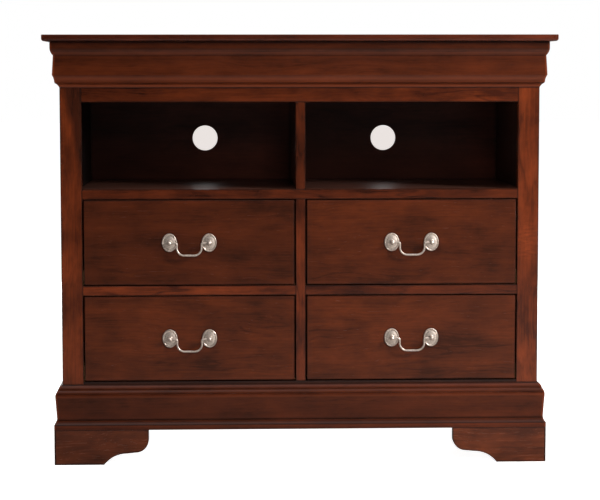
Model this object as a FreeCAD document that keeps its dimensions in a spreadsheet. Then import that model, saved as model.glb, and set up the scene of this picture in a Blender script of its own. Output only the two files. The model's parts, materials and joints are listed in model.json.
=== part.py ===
import FreeCAD, Part
import math
import os
import re
import Sketcher

# Media chest: a face-framed case on bracket feet, with two open cubbies over four inset drawers.
# Millimetres. +Z is up, -Y is the front, and the origin is the middle of the footprint on the floor.

doc = FreeCAD.newDocument("media_chest")
sheet = doc.addObject("Spreadsheet::Sheet", "Sizes")

# Driving sizes

SIZES = [
    # Top board
    ("TopWidth", "1016", "top board, side to side"),
    ("TopDepth", "432", "top board, front to back"),
    ("TopThick", "13", "top board thickness"),
    ("TopOverhang", "32", "top board beyond the case at the front and sides"),
    ("TopUnderRound", "5", "rounding under the top's front and side edges"),
    ("TopUpperRound", "1.5", "rounding above them"),
    # Cornice moulding, from the top board down; offsets are from the face of the case
    ("CorniceHeight", "91", "cornice moulding height"),
    ("CorniceProject", "17.2", "offset of the fillet under the top board"),
    ("CorniceFillet", "12.5", "height of that fillet"),
    ("CoveHeight", "15", "height of the cove below it"),
    ("CoveFoot", "11.2", "offset where the cove meets the frieze"),
    ("FriezeHeight", "38.5", "height of the leaning frieze"),
    ("FriezeSwell", "13.4", "offset at the foot of the frieze"),
    ("OvoloHeight", "14.7", "height of the rounded turn under the frieze"),
    ("OvoloFoot", "9.2", "offset at the foot of that turn"),
    ("CorniceQuirk", "1", "height and depth of the groove over the bead"),
    ("CorniceBeadBulge", "1.5", "crown of the cornice bead over its chord"),
    # Base moulding, from the feet up; offsets are from the face of the case
    ("BaseHeight", "90.5", "base moulding height"),
    ("BaseProject", "16.4", "offset of the bottom fillet, and of the feet"),
    ("BaseFillet", "10.5", "height of the bottom fillet"),
    ("BaseCove", "12.5", "height of the cove above it"),
    ("BaseWaist", "10.9", "offset where the cove meets the slanted face"),
    ("BaseSlant", "44", "height of the slanted face"),
    ("BaseShoulder", "13.9", "offset at the top of the slanted face"),
    ("BaseNose", "11.5", "height of the rounded nose"),
    ("BaseNoseTop", "9.3", "offset at the top of the nose"),
    ("BaseQuirk", "2", "height of the step over the nose"),
    ("BaseBeadFoot", "8.7", "offset at the foot of the top bead"),
    ("BaseBeadBulge", "1.5", "crown of the base bead over its chord"),
    # Face frame and carcase
    ("FrameThick", "19", "thickness of stiles and rails, front to back"),
    ("StileWidth", "42", "width of each stile"),
    ("RailHeight", "19", "height of the mid and shelf rails"),
    ("BottomRailShow", "4.5", "bottom rail showing over the base moulding"),
    ("TopRailShow", "28.5", "top rail showing under the cornice"),
    ("CubbyHeight", "173.5", "clear height of the cubby mouths"),
    ("DividerThick", "19", "thickness of the cubby divider and drawer partition"),
    ("ShelfThick", "19", "shelf board thickness"),
    ("SideThick", "16", "side panel thickness"),
    ("LinerSetback", "7", "cubby side liner behind the stile's inner edge"),
    ("BottomThick", "12", "bottom panel thickness"),
    ("BackThick", "6", "back panel thickness"),
    ("BackInset", "10", "back panel in from the rear edge of the case"),
    ("BackRabbet", "8", "rabbet in each side panel for the back panel"),
    ("CableHoleRadius", "27", "radius of each cable outlet"),
    ("CableHoleRise", "91", "cable outlet centre over the shelf"),
    ("CableHoleFromDivider", "184", "cable outlet centre from the divider's face"),
    # Bracket feet
    ("FootHeight", "70", "height of the feet"),
    ("FootThick", "19", "thickness of the bracket boards"),
    ("FootFlat", "99", "length that stands on the floor"),
    ("FootHollowEnd", "144", "end of the hollow, from the outer corner"),
    ("FootStep", "22.5", "rise from the floor to the top of the hollow"),
    ("FootLedgeRise", "1.8", "rise of the ledge from the hollow to the knee"),
    ("FootKneeStart", "162", "start of the knee, from the outer corner"),
    ("FootKneeRound", "25.8", "radius of the knee"),
    ("SideFootFlat", "62", "the same three places on the shorter side brackets"),
    ("SideFootHollowEnd", "96", "end of the hollow"),
    ("SideFootKneeStart", "110", "start of the knee"),
    ("RearBracketFlat", "60", "floor length of the plain rear bracket"),
    ("RearBracketReach", "95", "top length of the plain rear bracket"),
    ("CornerBlock", "38", "square of the glue block inside each foot"),
    ("BlockLift", "2", "glue block above the floor"),
    # Drawer boxes
    ("DrawerSideGap", "3", "gap at each end of a drawer front"),
    ("DrawerLevelGap", "2", "gap above and below a drawer front"),
    ("DrawerFrontHeight", "169", "height of a drawer front"),
    ("DrawerFrontThick", "19", "thickness of a drawer front"),
    ("DrawerEdgeRound", "1.5", "eased front edges of a drawer front"),
    ("BoxSideThick", "12", "drawer side thickness"),
    ("BoxSideHeight", "150", "drawer side height"),
    ("BoxBackThick", "12", "drawer back thickness"),
    ("BoxBottomThick", "5", "drawer bottom thickness"),
    ("BoxBottomRise", "8", "drawer bottom over the lower edge of the sides"),
    ("GrooveDepth", "6", "groove for the drawer bottom"),
    ("GroovePlay", "0.4", "play of the bottom in its groove"),
    # Wooden drawer runners
    ("RunnerHeight", "18", "runner height below the rail's top"),
    ("RunnerSeat", "13", "runner under the drawer side"),
    ("GuideHeight", "30", "side guide over the runner"),
    ("GuideClear", "1", "side guide clear of the drawer side"),
    ("RunClear", "0.4", "drawer side over its runner"),
    ("StopHeight", "12", "height of the stop at the rear of each outer runner"),
    ("StopLength", "14.6", "stop in front of the back panel"),
    ("StopClear", "0.4", "stop behind the closed drawer side"),
    # Bail pulls
    ("PullSpacing", "79", "post to post"),
    ("PullDrop", "0", "posts below the middle of the front"),
    ("RosetteHeight", "36.4", "oval rosette, tall way"),
    ("RosetteWidth", "29.4", "oval rosette, wide way"),
    ("RosetteRimThick", "2.6", "thickness at the raised rim"),
    ("RosetteRimWidth", "2", "width of the raised rim"),
    ("RosetteDish", "1.4", "thickness of the dished field"),
    ("RosetteRingWidth", "3", "field between the rim and the inner ridge"),
    ("RosetteRidgeThick", "2.2", "thickness of the inner ridge"),
    ("RosetteRidgeWidth", "1.6", "width of the inner ridge"),
    ("RosetteBoss", "6", "radius of the boss under the post"),
    ("RosetteBossThick", "3", "thickness at the boss"),
    ("BoltRadius", "2.4", "radius of the post's bolt"),
    ("BoltClear", "0.3", "bolt in its holes"),
    ("BoltEnd", "6", "bolt beyond the back of the front"),
    ("NutRadius", "4.6", "hexagon nut, across corners by two"),
    ("NutThick", "3.2", "nut thickness"),
    ("NutPlay", "0.1", "nut round the bolt"),
    ("NeckRadius", "3.4", "post neck radius"),
    ("HeadRadius", "4.75", "ball head radius"),
    ("PivotReach", "16", "bail pivot in front of the drawer front"),
    ("WireRadius", "2.1", "bail wire radius"),
    ("WireClear", "0.3", "bail wire in the ball head"),
    ("PinEnd", "1", "end of the bail pin inside the post's axis"),
    ("BailWidth", "49.2", "bail leg to leg, middle of the wire"),
    ("BailDrop", "24.5", "pivot down to the middle of the bar"),
    ("BailKnee", "3.5", "bend from the pin into the leg"),
    ("BailRound", "15", "bend from the leg into the bar"),
]

for row, (alias, number, meaning) in enumerate(SIZES, start=1):
    sheet.set(f"A{row}", meaning)
    sheet.set(f"B{row}", number)
    sheet.setAlias(f"B{row}", alias)
doc.recompute()

# Places worked out from the driving sizes

CASE_SIDE = "(TopWidth / 2 - TopOverhang)"
FRONT = "(TopOverhang - TopDepth / 2)"
REAR = "(TopDepth / 2)"
FRAME_BACK = f"({FRONT} + FrameThick)"
BACK_FACE = f"({REAR} - BackInset - BackThick)"
STILE_EDGE = f"({CASE_SIDE} - StileWidth)"
SIDE_FACE = f"({CASE_SIDE} - SideThick)"
LINER_FACE = f"({STILE_EDGE} + LinerSetback)"
DIVIDER_FACE = "(DividerThick / 2)"

BASE_TOP = "(FootHeight + BaseHeight)"
OPENING = "(DrawerFrontHeight + 2 * DrawerLevelGap)"
LOWER_SILL = f"({BASE_TOP} + BottomRailShow)"
MID_RAIL = f"({LOWER_SILL} + {OPENING})"
UPPER_SILL = f"({MID_RAIL} + RailHeight)"
SHELF_RAIL = f"({UPPER_SILL} + {OPENING})"
SHELF_TOP = f"({SHELF_RAIL} + RailHeight)"
CUBBY_TOP = f"({SHELF_TOP} + CubbyHeight)"
CORNICE_FOOT = f"({CUBBY_TOP} + TopRailShow)"
CASE_TOP = f"({CORNICE_FOOT} + CorniceHeight)"
BOTTOM_TOP = f"({LOWER_SILL} - RunnerHeight)"

DRAWER_WIDTH = f"({STILE_EDGE} - {DIVIDER_FACE} - 2 * DrawerSideGap)"
PULL_MIDDLE = "(DrawerFrontHeight / 2 - PullDrop)"

SIDES = (("left", -1), ("right", 1))
LEVELS = (("lower", LOWER_SILL), ("upper", UPPER_SILL))

nodes = []


# Helpers


def bind(text):
    """Puts the sheet's name before each size, as an expression needs it."""
    return re.sub(r"[A-Z][A-Za-z]+", lambda word: "Sizes." + word.group(), str(text))


def value(text):
    """The present value of an expression of sizes."""
    return float(sheet.evalExpression(bind(text)))


def across(sign, near, far):
    """A span from near to far of the middle, on the right side, or mirrored to the left."""
    if sign > 0:
        return near, far
    return f"-({far})", f"-({near})"


def keep(piece, label):
    """Names a finished sub-part and lists it for export."""
    piece.Label = label
    nodes.append(piece)
    return piece


def place(piece, x="0", y="0", z="0", turn=0):
    """Sets a piece's turn about Z and binds where its own origin goes."""
    turned = FreeCAD.Rotation(FreeCAD.Vector(0, 0, 1), turn)
    piece.Placement = FreeCAD.Placement(FreeCAD.Vector(0, 0, 0), turned)
    for axis, text in zip("xyz", (x, y, z)):
        piece.setExpression(f"Placement.Base.{axis}", bind(text))
    return piece


def block(label, x, y, z):
    """A rectangular block between two places on each axis."""
    box = doc.addObject("Part::Box", "block")
    box.Label = label
    for size, axis, (low, high) in zip(("Length", "Width", "Height"), "xyz", (x, y, z)):
        box.setExpression(size, bind(f"({high}) - ({low})"))
        box.setExpression(f"Placement.Base.{axis}", bind(low))
    return box


def drill(label, radius, start, length):
    """A round cutter along +Y from a place on the Y axis."""
    bit = doc.addObject("Part::Cylinder", "drill")
    bit.Label = label
    bit.setExpression("Radius", bind(radius))
    bit.setExpression("Height", bind(length))
    along_y = FreeCAD.Rotation(FreeCAD.Vector(1, 0, 0), -90)
    bit.Placement = FreeCAD.Placement(FreeCAD.Vector(0, 0, 0), along_y)
    bit.setExpression("Placement.Base.y", bind(start))
    return bit


def cut(label, base, tool):
    """One solid with another taken out of it."""
    piece = doc.addObject("Part::Cut", "cut")
    piece.Label = label
    piece.Base = base
    piece.Tool = tool
    return piece


def fuse(label, pieces):
    """Overlapping or touching forms as one solid."""
    piece = doc.addObject("Part::MultiFuse", "fuse")
    piece.Label = label
    piece.Shapes = pieces
    piece.Refine = True
    return piece


def group(label, pieces):
    """Separate solids that share one node."""
    piece = doc.addObject("Part::Compound", "group")
    piece.Label = label
    piece.Links = pieces
    return piece


def new_body(label):
    """An empty body with a label."""
    body = doc.addObject("PartDesign::Body", "body")
    body.Label = label
    return body


def new_sketch(body, plane, offset="0"):
    """An empty sketch on one of the body's origin planes, moved along its normal."""
    support = [face for face in body.Origin.OriginFeatures if face.Role == plane][0]
    sketch = body.newObject("Sketcher::SketchObject", "sketch")
    sketch.AttachmentSupport = (support, [""])
    sketch.MapMode = "FlatFace"
    sketch.setExpression("AttachmentOffset.Base.z", bind(offset))
    return sketch


def hold(sketch, kind, where, text):
    """Adds one driving dimension to a sketch and binds it."""
    index = sketch.addConstraint(Sketcher.Constraint(kind, *where, value(text)))
    name = f"d{index}"
    sketch.renameConstraint(index, name)
    sketch.setExpression(f"Constraints.{name}", bind(text))


def arc_between(start, end, radius, side):
    """The arc of a radius from start to end; its middle is on the left (1) or right (-1) of the way."""
    chord = end - start
    middle = (start + end) * 0.5
    across_chord = FreeCAD.Vector(-chord.y, chord.x, 0).normalize()
    reach = math.sqrt(max(radius ** 2 - (chord.Length / 2) ** 2, 0))
    centre = middle + across_chord * (side * reach)
    crown = centre - across_chord * (side * radius)
    return Part.Arc(start, crown, end)


def trace(sketch, points, closed=True):
    """Draws an outline. A point is (x, y) after a straight, or (x, y, radius, side) after an arc."""
    path = list(points)
    if closed:
        path.append(points[0])
    spots = [FreeCAD.Vector(value(point[0]), value(point[1]), 0) for point in path]
    edges = []
    for index in range(1, len(path)):
        step = path[index]
        start = spots[index - 1]
        end = spots[index]
        if len(step) == 2:
            edge = sketch.addGeometry(Part.LineSegment(start, end), False)
            edges.append((edge, 1, 2))
        else:
            arc = arc_between(start, end, value(step[2]), step[3])
            edge = sketch.addGeometry(arc, False)
            # An arc's ends are numbered the turning way, which may run against the outline
            ends = (1, 2) if step[3] > 0 else (2, 1)
            edges.append((edge, *ends))
            hold(sketch, "Radius", (edge,), step[2])
    for (edge, first, _), point in zip(edges, path):
        hold(sketch, "DistanceX", (-1, 1, edge, first), point[0])
        hold(sketch, "DistanceY", (-1, 1, edge, first), point[1])
    for (edge, _, last), (after, first, _) in zip(edges, edges[1:]):
        sketch.addConstraint(Sketcher.Constraint("Coincident", edge, last, after, first))
    if closed:
        sketch.addConstraint(Sketcher.Constraint("Coincident", edges[-1][0], edges[-1][2],
                                                 edges[0][0], edges[0][1]))
    else:
        hold(sketch, "DistanceX", (-1, 1, edges[-1][0], edges[-1][2]), path[-1][0])
        hold(sketch, "DistanceY", (-1, 1, edges[-1][0], edges[-1][2]), path[-1][1])
    return sketch


def ring(sketch, x, y, radius):
    """Draws a circle."""
    middle = FreeCAD.Vector(value(x), value(y), 0)
    circle = Part.Circle(middle, FreeCAD.Vector(0, 0, 1), value(radius))
    edge = sketch.addGeometry(circle, False)
    hold(sketch, "DistanceX", (-1, 1, edge, 3), x)
    hold(sketch, "DistanceY", (-1, 1, edge, 3), y)
    hold(sketch, "Radius", (edge,), radius)
    return sketch


def rectangle(x, y):
    """The corners of a rectangle, anticlockwise."""
    return [(x[0], y[0]), (x[1], y[0]), (x[1], y[1]), (x[0], y[1])]


def pad(body, sketch, length, backward=False):
    """Adds a sketch's outline as a prism along its normal, or against it."""
    feature = body.newObject("PartDesign::Pad", "pad")
    feature.Profile = sketch
    feature.setExpression("Length", bind(length))
    feature.Reversed = backward
    doc.recompute()
    return feature


def pocket(body, sketch, depth, backward=False):
    """Cuts a sketch's outline against its normal, or along it, and makes sure that it cuts."""
    before = body.Shape.Volume
    feature = body.newObject("PartDesign::Pocket", "pocket")
    feature.Profile = sketch
    feature.setExpression("Length", bind(depth))
    feature.Reversed = backward
    doc.recompute()
    if body.Shape.Volume > before - 1:
        raise RuntimeError(f"a pocket of {body.Label} cuts nothing")
    return feature


def round_edges(body, radius, wanted):
    """Rounds the edges of the body's tip whose boxes pass a test."""
    tip = body.Tip
    names = []
    for number, edge in enumerate(tip.Shape.Edges, start=1):
        if wanted(edge.BoundBox):
            names.append(f"Edge{number}")
    feature = body.newObject("PartDesign::Fillet", "fillet")
    feature.Base = (tip, names)
    feature.setExpression("Radius", bind(radius))
    doc.recompute()
    return feature


def flat_radius(run, rise):
    """The radius of an arc that spans a run and a rise and ends along the run."""
    return f"((({run})^2 + ({rise})^2) / (2 * ({rise})))"


def crown_radius(run, rise, crown):
    """The radius of an arc over a chord that spans a run and a rise, by its height over the chord."""
    return f"((({run})^2 + ({rise})^2) / (8 * ({crown})) + ({crown}) / 2)"


# Top board


def make_top():
    """The flat top board, rounded under its front and side edges and eased above."""
    body = new_body("top board")
    half = "(TopWidth / 2)"
    outline = rectangle((f"-{half}", half), (f"-{REAR}", REAR))
    pad(body, trace(new_sketch(body, "XY_Plane", CASE_TOP), outline), "TopThick")
    low = value(CASE_TOP)
    high = value(f"{CASE_TOP} + TopThick")
    rear = value(REAR)

    def level_edge(height):
        return lambda box: abs(box.ZMin - height) < 0.01 and box.ZLength < 0.01 and box.YMin < rear - 0.01

    round_edges(body, "TopUnderRound", level_edge(low))
    round_edges(body, "TopUpperRound", level_edge(high))
    keep(body, "top_board")


# Mouldings


def cornice_outline():
    """The cornice's section: (-offset, height over the moulding's foot), from the back of its foot."""
    bead_top = "(CorniceHeight - CorniceFillet - CoveHeight - FriezeHeight - OvoloHeight - CorniceQuirk)"
    ovolo_foot = f"({bead_top} + CorniceQuirk)"
    swell = f"({ovolo_foot} + OvoloHeight)"
    cove_foot = f"({swell} + FriezeHeight)"
    cove_top = f"({cove_foot} + CoveHeight)"
    bead = crown_radius("OvoloFoot", bead_top, "CorniceBeadBulge")
    ovolo = flat_radius("OvoloHeight", "FriezeSwell - OvoloFoot")
    cove = flat_radius("CoveHeight", "CorniceProject - CoveFoot")
    return [
        ("0", "0"),
        ("-OvoloFoot", bead_top, bead, 1),
        ("CorniceQuirk - OvoloFoot", bead_top),
        ("CorniceQuirk - OvoloFoot", ovolo_foot),
        ("-OvoloFoot", ovolo_foot),
        ("-FriezeSwell", swell, ovolo, 1),
        ("-CoveFoot", cove_foot),
        ("-CorniceProject", cove_top, cove, -1),
        ("-CorniceProject", "CorniceHeight"),
        ("0", "CorniceHeight"),
    ]


def base_outline():
    """The base moulding's section: (-offset, height over its foot), from the back of its foot."""
    waist = "(BaseFillet + BaseCove)"
    shoulder = f"({waist} + BaseSlant)"
    nose_top = f"({shoulder} + BaseNose)"
    bead_foot = f"({nose_top} + BaseQuirk)"
    cove = flat_radius("BaseCove", "BaseProject - BaseWaist")
    nose = flat_radius("BaseNose", "BaseShoulder - BaseNoseTop")
    bead = crown_radius("BaseBeadFoot", f"BaseHeight - {bead_foot}", "BaseBeadBulge")
    return [
        ("0", "0"),
        ("-BaseProject", "0"),
        ("-BaseProject", "BaseFillet"),
        ("-BaseWaist", waist, cove, 1),
        ("-BaseShoulder", shoulder),
        ("-BaseNoseTop", nose_top, nose, -1),
        ("-BaseBeadFoot", nose_top),
        ("-BaseBeadFoot", bead_foot),
        ("0", "BaseHeight", bead, -1),
    ]


def make_moulding(label, outline, project, tall, run, mitres, spot, turn):
    """A moulding along its own +X, its back on y = 0, mitred at the named ends, then put in place."""
    body = new_body(label)
    pad(body, trace(new_sketch(body, "YZ_Plane"), outline), run)
    for end in mitres:
        if end == "start":
            corners = [("-1", f"-{project} - 1"), (f"{project} + 1", "1"), ("-1", "1")]
        else:
            past = f"{run} + 1"
            corners = [(past, f"-{project} - 1"), (past, "1"), (f"{run} - {project} - 1", "1")]
        pocket(body, trace(new_sketch(body, "XY_Plane", "-1"), corners), f"{tall} + 2", backward=True)
    place(body, *spot, turn)
    keep(body, label)


def make_moulding_set(name, outline, project, tall, foot):
    """A front moulding between two returns that run to the rear of the case."""
    front_run = f"(2 * {CASE_SIDE} + 2 * {project})"
    side_run = f"({REAR} - {FRONT} + {project})"
    make_moulding(f"{name}_front", outline, project, tall, front_run, ("start", "end"),
                  (f"-{CASE_SIDE} - {project}", FRONT, foot), 0)
    make_moulding(f"{name}_left", outline, project, tall, side_run, ("end",),
                  (f"-{CASE_SIDE}", REAR, foot), -90)
    make_moulding(f"{name}_right", outline, project, tall, side_run, ("start",),
                  (CASE_SIDE, f"{FRONT} - {project}", foot), 90)


# Face frame


def make_face_frame():
    """Two stiles with the rails between them."""
    depth = (FRONT, FRAME_BACK)
    for side, sign in SIDES:
        stile = block(f"{side}_stile", across(sign, STILE_EDGE, CASE_SIDE), depth, ("FootHeight", CASE_TOP))
        keep(stile, f"{side}_stile")
        mid_rail = block(f"{side}_mid_rail", across(sign, DIVIDER_FACE, STILE_EDGE), depth,
                         (MID_RAIL, UPPER_SILL))
        keep(mid_rail, f"{side}_mid_rail")
    width = (f"-{STILE_EDGE}", STILE_EDGE)
    keep(block("top_rail", width, depth, (CUBBY_TOP, CASE_TOP)), "top_rail")
    keep(block("shelf_rail", width, depth, (SHELF_RAIL, SHELF_TOP)), "shelf_rail")
    keep(block("bottom_rail", width, depth, ("FootHeight", LOWER_SILL)), "bottom_rail")


# Carcase


def make_upright(label, front_span, rear_span):
    """A middle upright: a front edge that shows between the rails, and the board behind it."""
    thick = (f"-{DIVIDER_FACE}", DIVIDER_FACE)
    edge = block(f"{label} edge", thick, (FRONT, FRAME_BACK), front_span)
    board = block(f"{label} board", thick, (FRAME_BACK, BACK_FACE), rear_span)
    keep(fuse(label, [edge, board]), label)


def make_carcase():
    """Side panels, shelf, bottom, uprights, cubby liners and the back panel with its cable outlets."""
    inside = (f"-{SIDE_FACE}", SIDE_FACE)
    behind = (FRAME_BACK, BACK_FACE)
    for side, sign in SIDES:
        panel = block(f"{side} side blank", across(sign, SIDE_FACE, CASE_SIDE), (FRAME_BACK, REAR),
                      ("FootHeight", CASE_TOP))
        rabbet = block(f"{side} rabbet", across(sign, SIDE_FACE, f"{SIDE_FACE} + BackRabbet"),
                       (BACK_FACE, REAR), ("FootHeight", CASE_TOP))
        keep(cut(f"{side}_side_panel", panel, rabbet), f"{side}_side_panel")
    keep(block("shelf_board", inside, behind, (f"{SHELF_TOP} - ShelfThick", SHELF_TOP)), "shelf_board")
    keep(block("bottom_panel", inside, behind, (f"{BOTTOM_TOP} - BottomThick", BOTTOM_TOP)), "bottom_panel")
    make_upright("cubby_divider", (SHELF_TOP, CUBBY_TOP), (SHELF_TOP, CASE_TOP))
    make_upright("drawer_partition", (LOWER_SILL, SHELF_RAIL), (BOTTOM_TOP, f"({SHELF_TOP} - ShelfThick)"))
    liners = []
    for side, sign in SIDES:
        liners.append(block(f"{side} liner", across(sign, LINER_FACE, SIDE_FACE), behind,
                            (SHELF_TOP, CASE_TOP)))
    keep(group("cubby_side_liners", liners), "cubby_side_liners")
    make_back()


def make_back():
    """The thin back panel, with one round cable outlet behind each cubby."""
    body = new_body("back panel")
    half = f"({SIDE_FACE} + BackRabbet)"
    sketch = new_sketch(body, "XZ_Plane", f"-{BACK_FACE}")
    trace(sketch, rectangle((f"-{half}", half), ("FootHeight", CASE_TOP)))
    outlet = f"({DIVIDER_FACE} + CableHoleFromDivider)"
    height = f"({SHELF_TOP} + CableHoleRise)"
    ring(sketch, f"-{outlet}", height, "CableHoleRadius")
    ring(sketch, outlet, height, "CableHoleRadius")
    pad(body, sketch, "BackThick", backward=True)
    keep(body, "back_panel")


# Drawer runners


def make_runners():
    """Wooden runners: stepped outer ones with a side guide and rear stop, plain inner ones."""
    length = (FRAME_BACK, BACK_FACE)
    seat_edge = f"({STILE_EDGE} - DrawerSideGap - RunnerSeat)"
    guide_face = f"({STILE_EDGE} - DrawerSideGap + GuideClear)"
    inner_edge = f"({DIVIDER_FACE} + DrawerSideGap + RunnerSeat)"
    stop_face = f"({BACK_FACE} - StopLength)"
    outer = []
    inner = []
    for level, sill in LEVELS:
        for side, sign in SIDES:
            name = f"{level} {side}"
            seat = block(f"{name} seat", across(sign, seat_edge, SIDE_FACE), length,
                         (f"{sill} - RunnerHeight", sill))
            guide = block(f"{name} guide", across(sign, guide_face, SIDE_FACE), length,
                          (sill, f"{sill} + GuideHeight"))
            stop = block(f"{name} stop", across(sign, seat_edge, guide_face), (stop_face, BACK_FACE),
                         (sill, f"{sill} + StopHeight"))
            outer.append(fuse(f"{name} outer runner", [seat, guide, stop]))
            inner.append(block(f"{name} inner runner", across(sign, DIVIDER_FACE, inner_edge), length,
                               (f"{sill} - RunnerHeight", sill)))
    keep(group("outer_drawer_runners", outer), "outer_drawer_runners")
    keep(group("inner_drawer_runners", inner), "inner_drawer_runners")


# Bracket feet


def ogee_outline(flat, hollow_end, knee_start):
    """A bracket's side: a flat foot, a hollow, a ledge, a round knee and an upright end."""
    ledge_end = "(FootStep + FootLedgeRise)"
    knee_end = f"({knee_start} + FootKneeRound)"
    return [
        ("0", "0"),
        (flat, "0"),
        (hollow_end, "FootStep", flat_radius(f"{hollow_end} - {flat}", "FootStep"), -1),
        (knee_start, ledge_end),
        (knee_end, f"{ledge_end} + FootKneeRound", "FootKneeRound", 1),
        (knee_end, "FootHeight"),
        ("0", "FootHeight"),
    ]


def bracket_outline(kind):
    """The side of a front, side or plain rear bracket."""
    if kind == "front":
        return ogee_outline("FootFlat", "FootHollowEnd", "FootKneeStart")
    if kind == "side":
        return ogee_outline("SideFootFlat", "SideFootHollowEnd", "SideFootKneeStart")
    return [("FootThick", "0"), ("RearBracketFlat", "0"), ("RearBracketReach", "FootHeight"),
            ("FootThick", "FootHeight")]


def make_bracket(label, kind, along_x, mitred):
    """One bracket board from a corner at the origin, along +X or along +Y."""
    body = new_body(label)
    plane = "XZ_Plane" if along_x else "YZ_Plane"
    pad(body, trace(new_sketch(body, plane), bracket_outline(kind)), "FootThick", backward=along_x)
    if mitred:
        past = "(FootThick + 1)"
        other_half = ("-1", past) if along_x else (past, "-1")
        corners = [("-1", "-1"), (past, past), other_half]
        pocket(body, trace(new_sketch(body, "XY_Plane", "-1"), corners), "FootHeight + 2", backward=True)
    return body


def make_foot(label, end, x, y, turn):
    """Two brackets and a glue block in the corner between them, turned into one corner of the case."""
    x_is_side = turn in (90, -90)
    mitred = end == "front"
    first = make_bracket(f"{label} bracket x", "side" if x_is_side else end, True, mitred)
    second = make_bracket(f"{label} bracket y", end if x_is_side else "side", False, mitred)
    square = ("FootThick", "FootThick + CornerBlock")
    corner = block(f"{label} glue block", square, square, ("BlockLift", "FootHeight"))
    assembly = group(label, [first, second, corner])
    place(assembly, x, y, "0", turn)
    keep(assembly, label)


def make_feet():
    """Four feet, flush with the bottom fillet of the base moulding."""
    side = f"({CASE_SIDE} + BaseProject)"
    front = f"({FRONT} - BaseProject)"
    make_foot("front_left_foot", "front", f"-{side}", front, 0)
    make_foot("front_right_foot", "front", side, front, 90)
    make_foot("rear_right_foot", "rear", side, REAR, 180)
    make_foot("rear_left_foot", "rear", f"-{side}", REAR, -90)


# Drawers


def make_drawer_front(label, sill, left):
    """A slab front with eased front edges, a groove for the bottom and two bolt holes."""
    body = new_body(label)
    low = f"({sill} + DrawerLevelGap)"
    right = f"({left} + {DRAWER_WIDTH})"
    sketch = new_sketch(body, "XZ_Plane", f"-{FRONT}")
    trace(sketch, rectangle((left, right), (low, f"{low} + DrawerFrontHeight")))
    pad(body, sketch, "DrawerFrontThick", backward=True)
    face = value(FRONT)
    round_edges(body, "DrawerEdgeRound", lambda box: box.YMax < face + 0.01)

    groove_low = f"({sill} + RunClear + BoxBottomRise)"
    groove_high = f"({groove_low} + BoxBottomThick + GroovePlay)"
    inset = "(BoxSideThick - GrooveDepth)"
    groove = new_sketch(body, "XZ_Plane", f"-{FRONT} - DrawerFrontThick")
    trace(groove, rectangle((f"{left} + {inset}", f"{right} - {inset}"), (groove_low, groove_high)))
    pocket(body, groove, "GrooveDepth", backward=True)

    holes = new_sketch(body, "XZ_Plane", f"-{FRONT} - DrawerFrontThick")
    middle = f"({left} + {DRAWER_WIDTH} / 2)"
    for sign in ("-", "+"):
        ring(holes, f"{middle} {sign} PullSpacing / 2", f"{low} + {PULL_MIDDLE}", "BoltRadius + BoltClear")
    pocket(body, holes, "DrawerFrontThick + 1", backward=True)
    keep(body, label)


def make_drawer_box(name, sill, left):
    """Grooved sides, a back that stands on the bottom, and the bottom in its grooves."""
    front = f"({FRONT} + DrawerFrontThick)"
    rear = f"({BACK_FACE} - StopLength - StopClear)"
    low = f"({sill} + RunClear)"
    high = f"({low} + BoxSideHeight)"
    right = f"({left} + {DRAWER_WIDTH})"
    floor = f"({low} + BoxBottomRise)"
    floor_top = f"({floor} + BoxBottomThick)"
    inner_left = f"({left} + BoxSideThick)"
    inner_right = f"({right} - BoxSideThick)"
    groove = (floor, f"{floor_top} + GroovePlay")

    left_board = block(f"{name} left blank", (left, inner_left), (front, rear), (low, high))
    left_groove = block(f"{name} left groove", (f"{inner_left} - GrooveDepth", inner_left),
                        (front, rear), groove)
    keep(cut(f"{name}_left_side", left_board, left_groove), f"{name}_left_side")

    right_board = block(f"{name} right blank", (inner_right, right), (front, rear), (low, high))
    right_groove = block(f"{name} right groove", (inner_right, f"{inner_right} + GrooveDepth"),
                         (front, rear), groove)
    keep(cut(f"{name}_right_side", right_board, right_groove), f"{name}_right_side")

    back = block(f"{name}_back", (inner_left, inner_right), (f"{rear} - BoxBackThick", rear),
                 (floor_top, high))
    keep(back, f"{name}_back")
    play = "(GrooveDepth - GroovePlay)"
    bottom = block(f"{name}_bottom", (f"{inner_left} - {play}", f"{inner_right} + {play}"),
                   (f"{front} - {play}", rear), (floor, floor_top))
    keep(bottom, f"{name}_bottom")


# Bail pulls


def oval_disc(label, tall, wide, thick):
    """An upright oval disc from the drawer front out along -Y, by its two radii."""
    oval = doc.addObject("Part::Ellipse", "oval")
    oval.Label = f"{label} oval"
    oval.setExpression("MajorRadius", bind(tall))
    oval.setExpression("MinorRadius", bind(wide))
    upright = FreeCAD.Rotation(FreeCAD.Vector(1, 1, 1), -120)
    oval.Placement = FreeCAD.Placement(FreeCAD.Vector(0, 0, 0), upright)
    disc = doc.addObject("Part::Extrusion", "disc")
    disc.Label = label
    disc.Base = oval
    disc.DirMode = "Custom"
    disc.Dir = FreeCAD.Vector(0, -1, 0)
    disc.Solid = True
    disc.setExpression("LengthFwd", bind(thick))
    return disc


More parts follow.
